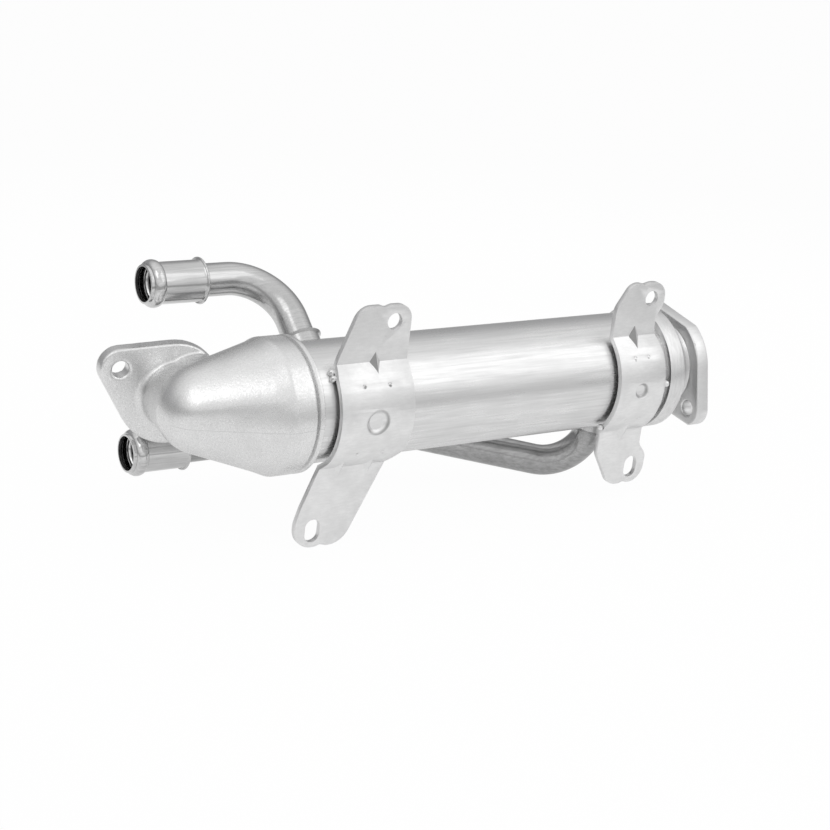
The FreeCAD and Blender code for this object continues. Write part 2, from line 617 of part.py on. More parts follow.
def outlet_side_bracket():
    half = OUTLET_STRAP_WIDTH / 2
    up, low = BEND_Z, -BEND_Z
    outline = [
        (half, up - 9, 6), (13.0, up + 4, 8), (13.0, up + 10.7, 6), (17.2, up + 17.7, 7),
        (17.2, up + 31.4, 9), (5.5, up + 31.2, 3), (1.5, up + 30.2, 3), (-2.0, up + 31.1, 3),
        (-7.8, up + 31.1, 8), (-17.0, up + 16.7, 10), (-half - 0.4, up, 0),
        (-half, up - 8, 0), (-half, low + 5, 4), (-14.8, low - 2, 6),
        (-15.0, low - 13.2, 8), (-2.8, low - 34.1, 9), (5.0, low - 34.1, 3),
        (8.0, low - 33.2, 3), (11.0, low - 34.1, 3), (21.6, low - 34.1, 10),
        (22.2, low - 17.2, 7), (16.2, low - 10.2, 6)]
    holes = [(OUTLET_HOLE_X, up + OUTLET_HOLE_RISE, 0),
             (OUTLET_SLOT_X, low - OUTLET_SLOT_DROP, SLOT_LENGTH - 2 * HOLE_R)]
    gussets = [(-1.8, 1, 4.3, 7.2), (0.7, -1, 5.5, 7.5)]
    tacks = [(-half - 0.5, -44, 3.0), (half + 1.7, 4, 3.8)]
    return bracket(OUTLET_STRAP_X, outline, holes, gussets, 5.0, 4.8, tacks)


def all_pieces():
    pieces = {
        "shell_tube": shell_tube(),
        "outlet_cap": outlet_cap(),
        "outlet_neck": outlet_neck(),
        "outlet_flange": outlet_flange(),
        "inlet_casting": inlet_casting(),
        "inlet_tube_sheet": tube_sheet(INLET_SHEET_X),
        "outlet_tube_sheet": tube_sheet(OUTLET_SHEET_X),
        "upper_hose_nipple": nipple(UPPER_MOUTH_AT),
        "lower_hose_nipple": nipple(LOWER_MOUTH_AT),
        "upper_coolant_pipe": upper_coolant_pipe(),
        "lower_coolant_pipe": lower_coolant_pipe(),
        "upper_stub_collar": stub_collar(UPPER_PORT_X, UPPER_PORT_ANGLE),
        "lower_stub_collar": stub_collar(LOWER_PORT_X, LOWER_PORT_ANGLE),
        "inlet_side_bracket": inlet_side_bracket(),
        "outlet_side_bracket": outlet_side_bracket(),
    }
    for index in range(BAFFLE_COUNT):
        pieces["baffle_plate_%d" % (index + 1)] = baffle_plate(index)
    for index, (y, z) in enumerate(tube_places()):
        pieces["gas_tube_%02d" % (index + 1)] = gas_tube(y, z)
    return pieces


def main():
    os.makedirs("parts", exist_ok=True)
    for name, shape in all_pieces().items():
        if not shape.isValid() or len(shape.Solids) != 1:
            print("check", name, shape.ShapeType, shape.isValid(), len(shape.Solids))
        shape.exportStep(os.path.join("parts", name + ".step"))
        print(name, round(shape.Volume, 1))


main()
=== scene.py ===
"""Exhaust gas cooler: shell, cast inlet elbow, flanged outlet, coolant pipes and strap brackets."""

import math

import bmesh
import bpy
from bpy.props import FloatProperty, FloatVectorProperty, IntProperty, PointerProperty
from bpy.types import Operator, Panel, PropertyGroup
from mathutils import Matrix, Vector


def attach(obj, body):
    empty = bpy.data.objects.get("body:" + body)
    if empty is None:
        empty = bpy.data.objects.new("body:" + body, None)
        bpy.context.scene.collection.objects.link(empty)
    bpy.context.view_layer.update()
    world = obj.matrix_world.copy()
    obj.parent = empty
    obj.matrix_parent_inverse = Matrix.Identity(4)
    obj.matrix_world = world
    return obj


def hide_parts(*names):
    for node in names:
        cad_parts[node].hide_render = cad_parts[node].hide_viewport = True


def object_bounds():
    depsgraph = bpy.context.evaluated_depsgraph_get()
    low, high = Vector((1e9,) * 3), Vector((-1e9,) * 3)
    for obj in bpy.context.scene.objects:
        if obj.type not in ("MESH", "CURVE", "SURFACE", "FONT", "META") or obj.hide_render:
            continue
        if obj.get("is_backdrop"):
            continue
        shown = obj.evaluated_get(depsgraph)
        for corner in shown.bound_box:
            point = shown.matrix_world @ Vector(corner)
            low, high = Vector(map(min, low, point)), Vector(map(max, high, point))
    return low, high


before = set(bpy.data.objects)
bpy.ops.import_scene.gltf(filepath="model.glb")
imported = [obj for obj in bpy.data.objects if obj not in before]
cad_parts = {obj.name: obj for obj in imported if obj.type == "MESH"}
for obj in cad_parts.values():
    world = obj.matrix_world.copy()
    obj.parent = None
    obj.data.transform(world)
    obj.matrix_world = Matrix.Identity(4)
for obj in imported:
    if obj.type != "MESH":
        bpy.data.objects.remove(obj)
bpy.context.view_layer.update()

bl_info = {
    "name": "Exhaust gas cooler",
    "version": (1, 0, 0),
    "blender": (4, 5, 0),
    "location": "View3D > Sidebar > Cooler",
    "description": "Builds the visible pieces of an exhaust gas cooler on its CAD frame",
    "category": "Object",
}

SHELL_AXIS = Vector((1.0, 0.0, 0.0))
INNER_NODES = sorted(
    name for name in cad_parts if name.startswith(("gas_tube", "baffle")) or "sheet" in name
)

# Room for the braze between a piece and its seat.
BRAZE_ROOM = 0.00005

# The casting's skin is laid anew on small cubes and then smoothed.
SKIN_CUBE = 0.00072
SKIN_SMOOTHING = 0.5
SKIN_ROUNDS = 5

# Small round blobs fill the cleft between the elbow and the flange, along a shallow curve.
CLEFT_BLOBS = 9
CLEFT_BLOB_RADIUS = 0.0019
CLEFT_START = (-0.312, 0.039, 0.016)
CLEFT_LENGTH = 0.013
CLEFT_SAG = 0.0038

# A soft ridge rises from the elbow's nose to the collar, over the side that faces the front.
RIDGE_SIDE = Vector((-0.5, -0.866, 0.0))
RIDGE_HEIGHT = 0.0013
RIDGE_WIDTH = 0.007
RIDGE_NOSE_X = -0.3276
RIDGE_NOSE_Z = 0.008
RIDGE_SLOPE = 0.247
RIDGE_END_X = -0.277
RIDGE_FADE_DOWN = 0.010
RIDGE_FADE_END = 0.012

# The casting's parting line: its rise along the shell, its height and half its width.
PARTING_RISE = 0.0613
PARTING_HEIGHT = 0.01592
PARTING_HALF_WIDTH = 0.00016

# Where the pipes enter the shell: place along it, how far out the bend's corner is, and turn in degrees.
UPPER_PORT = (-0.2435, 0.0805, 38.0)
LOWER_PORT = (-0.0513, 0.0677, -81.0)
LOWER_RUN_END = -0.173
PIPE_IN_SHELL = 0.0015
PIPE_IN_NIPPLE = 0.009
PIPE_SIDES = 64

# The strap brackets and the outlet flange: places, folds in degrees and eased edges.
STRAP_RADIUS = 0.0366
INLET_STRAP_X = -0.2325
OUTLET_STRAP_X = -0.0542
FOLD_RADIUS = 0.0009
FOLD_TURNS = (25.0, 65.0)
FOLD_LEAST_LENGTH = 0.003
SHARP_TURN = 30.0
SHEET_EDGE = 0.00025
FLANGE_EDGE = 0.0005
FLANGE_HOLE = (-0.0042, -0.0284, -0.0176)

# Painted shade on the side of the upper gussets that is turned from the light: the way it faces, how
# closely, and from what height.
SHADED_GUSSET_SIDE = Vector((-0.58, -0.74, 0.34)).normalized()
SHADED_GUSSET_MATCH = 0.975
SHADED_GUSSET_HEIGHT = 0.02

# The side of a dimple's rim that gets the most painted shade.
SHADED_SIDE = (0.85, 0.0, -0.53)

# Most of a noise's values lie between these.
NOISE_LOW = 0.3
NOISE_HIGH = 0.7

# The floor fades with its distance from the part, and shows as light to the camera and in the steel.
FLOOR_HALF = 6.0
FLOOR_FADE = (0.45, 0.9)
FLOOR_TO_CAMERA = 0.97
FLOOR_TO_STEEL = 0.55

# The sky leans towards the front and is dimmed in a low band round the horizon.
SKY_STOPS = (
    (0.0, (0.40, 0.40, 0.405, 1.0)),
    (0.9, (1.0, 1.0, 1.0, 1.0)),
    (0.45, (0.82, 0.82, 0.82, 1.0)),
)
SKY_LEAN = -0.5
SKY_BAND = 0.1
SKY_BAND_SHARE = 0.56

# Both lamps look at the middle of the part.
LAMP_TARGET = (-0.16, 0.0, 0.0)
KEY_PLACE, KEY_SIZE = (0.45, -0.6, 0.8), 0.9
FILL_PLACE, FILL_SIZE = (-0.9, -0.3, 0.9), 0.6

# The camera's right and upward ways in the photograph, and its sensor in millimetres.
SENSOR_WIDTH = 36.0
CAMERA_RIGHT = Vector((0.83110, -0.54397, 0.11562))
CAMERA_UP = Vector((0.09821, 0.34821, 0.93226))


def strap_point(middle, side, turn):
    """A point of a strap's face, sideways from its middle and turned up from its front, in degrees."""
    turn = math.radians(turn)
    return (middle + side, -STRAP_RADIUS * math.cos(turn), STRAP_RADIUS * math.sin(turn))


# Small spots painted darker on the straps: centre, radius and share of darkening.
INLET_SPOTS = (
    (strap_point(INLET_STRAP_X, -0.0072, 29.6), 0.0011, 0.75),
    (strap_point(INLET_STRAP_X, 0.0080, 28.6), 0.0012, 0.8),
    (strap_point(INLET_STRAP_X, -0.0077, -30.0), 0.0008, 0.4),
    (strap_point(INLET_STRAP_X, 0.0087, -32.9), 0.0010, 0.55),
)
OUTLET_SPOTS = (
    (strap_point(OUTLET_STRAP_X, -0.0049, 27.7), 0.0011, 0.7),
    (strap_point(OUTLET_STRAP_X, 0.0048, 28.6), 0.0009, 0.55),
)
# Painted shade in the flange's lower hole: centre, radius and share of darkening.
FLANGE_SPOTS = ((FLANGE_HOLE, 0.0054, 0.75),)

# Pressed dimples of the straps, with painted shade round their rim: centre, radius of the rim and width
# of its painted shade.
INLET_DIMPLE = (strap_point(INLET_STRAP_X, 0.0, 0.0), 0.0064, 0.0013)
OUTLET_DIMPLE = (strap_point(OUTLET_STRAP_X, 0.0, 0.0), 0.0038, 0.0011)


def length(name, description, default):
    """A size in metres that shows in the scene's units."""
    return FloatProperty(
        name=name, description=description, default=default, min=0.0, unit="LENGTH", precision=4
    )


def place(name, description, default):
    """A point in the part's own frame, in metres."""
    return FloatVectorProperty(
        name=name, description=description, default=default, size=3, subtype="XYZ", precision=4
    )


def station(name, description, default):
    """A place along the shell's axis, in metres."""
    return FloatProperty(
        name=name, description=description, default=default, unit="LENGTH", precision=4
    )


def colour(name, description, default):
    """A plain colour."""
    return FloatVectorProperty(
        name=name, description=description, default=default, size=3, subtype="COLOR", min=0.0, max=1.0
    )


def share(name, description, default):
    """A number from nought to one."""
    return FloatProperty(
        name=name, description=description, default=default, min=0.0, max=1.0, subtype="FACTOR"
    )


def power(name, description, default):
    """The power of a lamp, in watts."""
    return FloatProperty(name=name, description=description, default=default, min=0.0, subtype="POWER")


class CoolerBody(PropertyGroup):
    """Sizes of the round shell and of the cap and neck at its outlet end."""

    shell_radius: length("Shell radius", "Outside of the drawn shell", 0.0325)
    shell_wall: length("Shell wall", "Thickness of the shell", 0.0015)
    shell_left: station("Shell left end", "Where the shell ends in the casting", -0.2766)
    shell_right: station("Shell right end", "Where the shell ends in the cap", -0.0246)
    cap_radius: length("Cap radius", "Outside of the cap's skirt", 0.036)
    cap_skirt: length("Cap skirt", "Length of the skirt over the shell", 0.0115)
    cap_face: length("Cap face", "Thickness of the cap's flat shoulder", 0.0035)
    cap_round: length("Cap rounding", "Rounding of the cap's outer edge", 0.0016)
    neck_radius: length("Neck radius", "Outside of the outlet neck", 0.023)
    neck_wall: length("Neck wall", "Thickness of the outlet neck", 0.0025)
    neck_end: station("Flange back", "Back face of the outlet flange", -0.0084)
    weld_size: length("Weld size", "Leg of the weld round the neck", 0.0017)


class CoolerPipes(PropertyGroup):
    """Sizes of the two coolant pipes and their hose nipples."""

    pipe_radius: length("Pipe radius", "Outside of both pipes", 0.009)
    pipe_wall: length("Pipe wall", "Thickness of both pipes", 0.0012)
    upper_bend: length("Upper bend", "Radius of the upper pipe's bend", 0.030)
    lower_bend: length("Lower bend", "Radius of the lower pipe's bends", 0.026)
    nipple_radius: length("Nipple radius", "Outside of the straight grip", 0.0113)
    nipple_wall: length("Nipple wall", "Thickness of the nipple", 0.0012)
    bead_radius: length("Bead radius", "Crown of the bead that holds the hose", 0.01285)
    flare_radius: length("Flare radius", "Rear collar of the nipple", 0.0127)
    nipple_length: length("Nipple length", "From the mouth to the rear collar's end", 0.0335)
    upper_mouth: place("Upper mouth", "Centre of the upper nipple's mouth", (-0.3222, 0.063434, 0.04956))
    lower_mouth: place("Lower mouth", "Centre of the lower nipple's mouth", (-0.3281, 0.058, -0.0434))


class CoolerFinish(PropertyGroup):
    """Colours and polish of the steels."""

    shell_colour: colour("Shell", "Drawn tube", (0.79, 0.79, 0.79))
    cap_colour: colour("Cap", "Pressed cap and turned neck", (0.76, 0.76, 0.76))
    cast_colour: colour("Casting", "Blasted casting", (0.85, 0.85, 0.85))
    flange_colour: colour("Flange", "Machined flange", (0.80, 0.80, 0.80))
    pipe_colour: colour("Pipes", "Drawn coolant pipes", (0.64, 0.64, 0.64))
    nipple_colour: colour("Nipples", "Formed hose nipples", (0.70, 0.70, 0.70))
    bracket_colour: colour("Brackets", "Stamped sheet", (0.86, 0.86, 0.86))
    inner_colour: colour("Inside", "Tubes, plates and baffles", (0.52, 0.52, 0.52))
    shell_rough: share("Shell roughness", "Lower is shinier", 0.30)
    cast_rough: share("Casting roughness", "Lower is shinier", 0.29)
    pipe_rough: share("Pipe roughness", "Lower is shinier", 0.19)
    bracket_rough: share("Bracket roughness", "Lower is shinier", 0.38)


class CoolerStudio(PropertyGroup):
    """Light, floor and camera of the plain studio."""

    floor_colour: colour("Floor", "Pale floor", (0.90, 0.90, 0.90))
    floor_drop: length("Floor gap", "Room between the part and the floor", 0.0005)
    sky_strength: FloatProperty(
        name="Sky", description="Plain light from all round", default=1.0, min=0.0
    )
    key_power: power("Key light", "Large soft lamp above", 1.1)
    fill_power: power("Fill light", "Soft lamp on the inlet's side", 0.8)
    lens: FloatProperty(name="Lens", description="Focal length in millimetres", default=84.64, min=1.0)
    camera_place: place("Camera", "Where the camera stands", (-0.7702, -0.8185, 0.3527))
    steps: IntProperty(name="Steps", description="Faces round a turned piece", default=128, min=16)


GROUPS = (
    ("cooler_body", CoolerBody),
    ("cooler_pipes", CoolerPipes),
    ("cooler_finish", CoolerFinish),
    ("cooler_studio", CoolerStudio),
)


def add_object(name, mesh):
    """Puts a mesh into the scene as an object at the origin."""
    made = bpy.data.objects.new(name, mesh)
    bpy.context.scene.collection.objects.link(made)
    return made


def finish_piece(name, bm, material, nodes, smooth_angle=32.0, painted_shade_material=None, flat=None):
    """Turns a bmesh into a shaded piece that rides on the body and stands for its CAD nodes."""
    for face in bm.faces:
        face.smooth = flat is None or not flat(face)
    mesh = bpy.data.meshes.new(name)
    bm.to_mesh(mesh)
    bm.free()
    mesh.set_sharp_from_angle(angle=math.radians(smooth_angle))
    mesh.materials.append(material)
    # A second material, a darker copy of the steel, carries painted shade.
    if painted_shade_material is not None:
        mesh.materials.append(painted_shade_material)
    made = add_object(name, mesh)
    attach(made, "root")
    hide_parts(*nodes)
    return made


def turned(outline, steps, base=(0.0, 0.0, 0.0)):
    """A ring spun about the shell's axis from a closed outline of (along, radius) points."""
    bm = bmesh.new()
    corners = [bm.verts.new((along, 0.0, radius)) for along, radius in outline]
    for index, corner in enumerate(corners):
        bm.edges.new((corner, corners[(index + 1) % len(corners)]))
    bmesh.ops.spin(
        bm, geom=bm.verts[:] + bm.edges[:], cent=(0.0, 0.0, 0.0), axis=SHELL_AXIS,
        angle=2.0 * math.pi, steps=steps, use_merge=True, use_duplicate=False,
    )
    bmesh.ops.remove_doubles(bm, verts=bm.verts[:], dist=1e-6)
    bmesh.ops.recalc_face_normals(bm, faces=bm.faces[:])
    bmesh.ops.translate(bm, verts=bm.verts[:], vec=base)
    return bm


def bevel_edges(bm, edges, width, segments):
    """Rounds some edges over a width."""
    bmesh.ops.bevel(
        bm, geom=edges, offset=width, offset_type="OFFSET", segments=segments, profile=0.5,
        affect="EDGES", clamp_overlap=True, material=-1,
    )


def soften(bm, width):
    """Takes the sharpness off every edge that isn't nearly flat."""
    sharp = [
        edge for edge in bm.edges
        if len(edge.link_faces) == 2 and edge.calc_face_angle() > math.radians(SHARP_TURN)
    ]
    bevel_edges(bm, sharp, width, 2)


def round_bends(bm, width):
    """Rounds the long folds between the straps and their tabs."""
    folds = []
    for edge in bm.edges:
        along = (edge.verts[1].co - edge.verts[0].co).normalized()
        if len(edge.link_faces) != 2 or abs(along.x) < 0.999 or edge.calc_length() < FOLD_LEAST_LENGTH:
            continue
        if FOLD_TURNS[0] < math.degrees(edge.calc_face_angle()) < FOLD_TURNS[1]:
            folds.append(edge)
    bevel_edges(bm, folds, width, 3)


def copied_node(name):
    """A joined up copy of a CAD node's mesh, with its flat faces made whole again."""
    bm = bmesh.new()
    bm.from_mesh(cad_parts[name].data)
    bmesh.ops.remove_doubles(bm, verts=bm.verts[:], dist=2e-6)
    bmesh.ops.dissolve_degenerate(bm, dist=1e-6, edges=bm.edges[:])
    bmesh.ops.dissolve_limit(
        bm, angle_limit=math.radians(1.0), verts=bm.verts[:], edges=bm.edges[:], delimit=set(),
    )
    return bm


def is_plain_face(face):
    """True for the large flat faces of tabs and flange, which keep one even normal."""
    square = max(abs(value) for value in face.normal) > 0.9999
    centre = face.calc_center_median()
    on_strap = abs(centre.z) < 0.029 and abs(face.normal.y) > 0.9
    return square and face.calc_area() > 4e-6 and not on_strap


def pipe_line(corners):
    """Straight runs and bends of a pipe: (start, end, None) or (start, end, (centre, axis, angle))."""
    legs = []
    at = Vector(corners[0][0])
    for index in range(1, len(corners)):
        corner, bend = Vector(corners[index][0]), corners[index][1]
        if bend <= 0.0:
            legs.append((at, corner, None))
            break
        after = Vector(corners[index + 1][0])
        back, onward = (at - corner).normalized(), (after - corner).normalized()
        half = back.angle(onward) / 2.0
        reach = bend / math.tan(half)
        start, end = corner + back * reach, corner + onward * reach
        centre = corner + (back + onward).normalized() * (bend / math.sin(half))
        axis = (-back).cross(onward).normalized()
        legs.append((at, start, None))
        legs.append((start, end, (centre, axis, math.pi - 2.0 * half)))
        at = end
    return legs


def bent_pipe(corners, outer, wall):
    """A pipe swept along runs and bends, with its inner wall."""
    bm = bmesh.new()
    legs = pipe_line(corners)
    way = (legs[0][1] - legs[0][0]).normalized()
    stand = Matrix.Translation(legs[0][0]) @ way.to_track_quat("Z", "Y").to_matrix().to_4x4()
    made = bmesh.ops.create_circle(bm, segments=PIPE_SIDES, radius=outer, matrix=stand, cap_ends=False)
    ring = made["verts"] + list({edge for vert in made["verts"] for edge in vert.link_edges})
    for start, end, bend in legs:
        if bend:
            centre, axis, angle = bend
            spun = bmesh.ops.spin(
                bm, geom=ring, cent=centre, axis=axis, angle=angle, use_duplicate=False,
                steps=max(8, round(math.degrees(angle) / 3.0)),
            )
            ring = spun["geom_last"]
        else:
            edges = [item for item in ring if isinstance(item, bmesh.types.BMEdge)]
            grown = bmesh.ops.extrude_edge_only(bm, edges=edges)["geom"]
            verts = [item for item in grown if isinstance(item, bmesh.types.BMVert)]
            bmesh.ops.translate(bm, verts=verts, vec=end - start)
            ring = verts + [
                item for item in grown
                if isinstance(item, bmesh.types.BMEdge) and all(vert in verts for vert in item.verts)
            ]
    bmesh.ops.remove_doubles(bm, verts=bm.verts[:], dist=1e-7)
    bmesh.ops.recalc_face_normals(bm, faces=bm.faces[:])
    bmesh.ops.solidify(bm, geom=bm.faces[:], thickness=wall)
    bmesh.ops.recalc_face_normals(bm, faces=bm.faces[:])
    return bm


class Nodes:
    """A small helper that adds nodes to one tree and links them."""

    def __init__(self, tree):
        self.tree = tree
        self.tree.nodes.clear()

    def add(self, kind, **settings):
        """A node of a kind, with its settings."""
        node = self.tree.nodes.new(kind)
        for key, value in settings.items():
            setattr(node, key, value)
        return node

    def feed(self, item, socket):
        """Links an output to an input, or sets the input to a plain value."""
        if isinstance(item, bpy.types.NodeSocket):
            self.tree.links.new(item, socket)
        else:
            socket.default_value = item

    def number(self, operation, *terms, use_clamp=False):
        """The result of a sum with numbers."""
        node = self.add("ShaderNodeMath", operation=operation, use_clamp=use_clamp)
        for term, socket in zip(terms, node.inputs):
            self.feed(term, socket)
        return node.outputs[0]

    def vector(self, operation, *terms):
        """The result of a sum with points or directions."""
        node = self.add("ShaderNodeVectorMath", operation=operation)
        for term, socket in zip(terms, node.inputs):
            self.feed(term, socket)
        return node.outputs["Vector" if operation == "SUBTRACT" else "Value"]

    def ramp(self, value, start, end, low, high, interpolation="SMOOTHSTEP"):
        """A value spread from low to high between two limits."""
        node = self.add("ShaderNodeMapRange", interpolation_type=interpolation)
        self.feed(value, node.inputs["Value"])
        node.inputs["From Min"].default_value = start
        node.inputs["From Max"].default_value = end
        node.inputs["To Min"].default_value = low
        node.inputs["To Max"].default_value = high
        return node.outputs["Result"]

    def blend(self, value, first, second, blend_type="MIX"):
        """A colour between two, chosen by a value."""
        node = self.add("ShaderNodeMix", data_type="RGBA", blend_type=blend_type)
        self.feed(value, node.inputs[0])
        for index, item in ((6, first), (7, second)):
            self.feed((*item, 1.0) if isinstance(item, tuple) else item, node.inputs[index])
        return node.outputs[2]

    def mix_shaders(self, value, first, second):
        """One of two shaders, or some of both, chosen by a value."""
        node = self.add("ShaderNodeMixShader")
        for item, socket in zip((value, first, second), node.inputs):
            self.feed(item, socket)
        return node.outputs["Shader"]

    def parts(self, place_at):
        """The outputs X, Y and Z of a place."""
        node = self.add("ShaderNodeSeparateXYZ")
        self.feed(place_at, node.inputs["Vector"])
        return node.outputs


class Shader(Nodes):
    """The nodes of one material."""

    def __init__(self, name, tint, metallic=1.0):
        self.material = bpy.data.materials.new(name)
        self.material.use_nodes = True
        self.material.diffuse_color = (*tint, 1.0)
        super().__init__(self.material.node_tree)
        self.output = self.add("ShaderNodeOutputMaterial")
        self.base = self.add("ShaderNodeBsdfPrincipled")
        self.base.inputs["Metallic"].default_value = metallic
        self.feed(self.base.outputs["BSDF"], self.output.inputs["Surface"])
        self.coordinates = self.add("ShaderNodeTexCoord").outputs["Object"]

    def paint(self, colour_of, roughness):
        """Gives the surface its colour and its roughness."""
        self.feed(colour_of, self.base.inputs["Base Color"])
        self.feed(roughness, self.base.inputs["Roughness"])

    def noise(self, scale, stretch=(1.0, 1.0, 1.0), detail=3.0, roughness=0.5):
        """Noise on the part's own coordinates, stretched along an axis."""
        mapping = self.add("ShaderNodeMapping")
        mapping.inputs["Scale"].default_value = stretch
        self.feed(self.coordinates, mapping.inputs["Vector"])
        noise = self.add("ShaderNodeTexNoise")
        noise.inputs["Scale"].default_value = scale
        noise.inputs["Detail"].default_value = detail
        noise.inputs["Roughness"].default_value = roughness
        self.feed(mapping.outputs["Vector"], noise.inputs["Vector"])
        return noise.outputs["Fac"]

    def spread(self, value, low, high):
        """A noise spread from low to high."""
        return self.ramp(value, NOISE_LOW, NOISE_HIGH, low, high, "LINEAR")

    def spot(self, centre, radius, amount):
        """A soft round mask about a point of the part."""
        gap = self.vector("DISTANCE", self.coordinates, centre)
        return self.ramp(gap, radius * 0.55, radius * 1.2, amount, 0.0)

    def rim(self, centre, radius, width):
        """A soft ring of painted shade about a point, strongest on its shaded side."""
        away = self.vector("SUBTRACT", self.coordinates, centre)
        off = self.number("SUBTRACT", self.vector("LENGTH", away), radius)
        ring = self.ramp(self.number("ABSOLUTE", off), 0.0, width, 1.0, 0.0)
        side = self.vector("DOT_PRODUCT", away, SHADED_SIDE)
        return self.number("MULTIPLY", ring, self.ramp(side, -radius, radius, 0.15, 0.65))

    def seam(self):
        """A thin mask along the casting's parting line, on its front."""
        level = self.vector("DOT_PRODUCT", self.coordinates, (-PARTING_RISE, 0.0, 1.0))
        line = self.number("COMPARE", level, PARTING_HEIGHT, PARTING_HALF_WIDTH)
        front = self.number("LESS_THAN", self.parts(self.coordinates)["Y"], 0.0)
        return self.number("MULTIPLY", line, front)

    def bump(self, *layers):
        """Bump from (height, strength, distance) layers, one on another."""
        normal = None
        for height, strength, distance in layers:
            node = self.add("ShaderNodeBump")
            node.inputs["Strength"].default_value = strength
            node.inputs["Distance"].default_value = distance
            self.feed(height, node.inputs["Height"])
            if normal is not None:
                self.feed(normal, node.inputs["Normal"])
            normal = node.outputs["Normal"]
        self.feed(normal, self.base.inputs["Normal"])


def darker(tint, amount):
    """A share of a colour."""
    return tuple(channel * amount for channel in tint)


def brushed_steel(name, tint, rough, stretch, grain, depth, stain=0.93, streak=0.8):
    """Drawn or turned steel: long fine streaks in its polish, faint stains and a light haze."""
    shader = Shader(name, tint)
    streaks = shader.noise(grain, stretch, detail=4.0, roughness=0.6)
    haze = shader.noise(38.0)
    stained = shader.blend(shader.spread(haze, 0.0, 1.0), tint, darker(tint, stain))
    streaked = shader.blend(shader.spread(streaks, -0.25, 0.75), stained, darker(tint, streak))
    dull = shader.spread(haze, rough - 0.03, rough + 0.05)
    shader.paint(streaked, shader.number("ADD", shader.spread(streaks, -0.07, 0.07), dull))
    shader.bump((haze, 0.3, 0.0005), (streaks, 0.35, depth))
    return shader.material


def cast_steel(name, tint, rough):
    """Blasted investment casting: sandy grain, slow waves and a faint parting line."""
    shader = Shader(name, tint)
    grain = shader.noise(1150.0, detail=4.0, roughness=0.65)
    waves = shader.noise(70.0)
    shade = shader.blend(shader.spread(waves, 0.0, 1.0), tint, darker(tint, 0.9))
    shade = shader.blend(shader.spread(grain, 0.0, 0.5), shade, darker(tint, 0.66))
    shade = shader.blend(shader.seam(), shade, darker(tint, 0.74))
    shader.paint(shade, shader.spread(grain, rough - 0.08, rough + 0.12))
    shader.bump((waves, 0.25, 0.0009), (grain, 0.36, 0.00022))
    return shader.material


def sheet_steel(name, tint, rough, spots=(), dimple=None):
    """Stamped sheet: fine mill finish with a soft mottle, handling marks, darker spots and painted shade
    round a dimple's rim.
    """
    shader = Shader(name, tint)
    mill = shader.noise(900.0, (0.25, 1.0, 1.0), roughness=0.6)
    mottle = shader.noise(110.0, detail=4.0, roughness=0.6)
    marks = shader.noise(500.0, (1.0, 1.0, 0.12), detail=2.0, roughness=0.7)
    shade = shader.blend(shader.spread(mottle, 0.0, 1.0), tint, darker(tint, 0.9))
    shade = shader.blend(shader.spread(mill, 0.0, 0.5), shade, darker(tint, 0.82))
    # Each spot is painted darker; the flange's spot is painted shade in its hole.
    for centre, radius, amount in spots:
        shade = shader.blend(shader.spot(centre, radius, amount), shade, darker(tint, 0.12))
    # Painted shade round the dimple's rim.
    if dimple:
        shade = shader.blend(shader.rim(*dimple), shade, darker(tint, 0.2))
    shader.paint(shade, shader.spread(mottle, rough - 0.05, rough + 0.08))
    shader.bump((mottle, 0.2, 0.0005), (marks, 0.1, 0.0001), (mill, 0.3, 0.00005))
    return shader.material


def finishes():
    """The cooler's materials by name, made once and then found again."""
    finish = bpy.context.scene.cooler_finish
    shell, cap, flange, cast, pipe, nipple, sheet, inner = (
        tuple(getattr(finish, name + "_colour"))
        for name in ("shell", "cap", "flange", "cast", "pipe", "nipple", "bracket", "inner")
    )
    rough, drawn, stamped = finish.shell_rough, finish.pipe_rough, finish.bracket_rough
    along, around = (0.04, 1.0, 1.0), (1.0, 0.2, 0.2)
    looks = {
        "shell": (brushed_steel, shell, rough, along, 650.0, 0.00005),
        "cap": (brushed_steel, cap, rough + 0.02, around, 800.0, 0.00004),
        "flange": (sheet_steel, flange, stamped, FLANGE_SPOTS),
        "cast": (cast_steel, cast, finish.cast_rough),
        "pipe": (brushed_steel, pipe, drawn, along, 800.0, 0.00005, 0.78, 0.68),
        # The lower pipe is painted darker than the upper: painted shade under the shell.
        "low_pipe": (brushed_steel, darker(pipe, 0.72), drawn, along, 800.0, 0.00005, 0.78, 0.62),
        "nipple": (brushed_steel, nipple, drawn - 0.07, along, 900.0, 0.00005, 0.85, 0.66),
        # The bore is a darker copy of the nipple's steel: painted shade inside it.
        "bore": (brushed_steel, darker(nipple, 0.38), 0.35, around, 500.0, 0.00004),
        "inlet_sheet": (sheet_steel, sheet, stamped, INLET_SPOTS, INLET_DIMPLE),
        "outlet_sheet": (sheet_steel, sheet, stamped, OUTLET_SPOTS, OUTLET_DIMPLE),
        # A darker copy of the sheet for the gussets' sides turned from the light: painted shade.
        "pressed": (sheet_steel, darker(sheet, 0.4), stamped),
        "inner": (brushed_steel, inner, 0.42, along, 600.0, 0.00003, 0.85),
    }
    return {
        name: bpy.data.materials.get(name + "_look") or make(name + "_look", *settings)
        for name, (make, *settings) in looks.items()
    }


def dress_node(name, material):
    """Gives a CAD node its finish and leaves its shape alone."""
    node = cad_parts[name]
    if not node.material_slots:
        node.data.materials.append(material)
    for slot in node.material_slots:
        slot.material = material


class COOLER_OT_shell(Operator):
    """Round shell between the casting and the cap"""

    bl_idname = "cooler.shell"
    bl_label = "Shell"

    def execute(self, context):
        body, steps = context.scene.cooler_body, context.scene.cooler_studio.steps
        bore = body.shell_radius - body.shell_wall
        outline = [
            (body.shell_left, bore), (body.shell_right, bore),
            (body.shell_right, body.shell_radius), (body.shell_left, body.shell_radius),
        ]
        bm = turned(outline, steps)
        finish_piece("shell", bm, finishes()["shell"], ["shell_tube"])
        return {"FINISHED"}


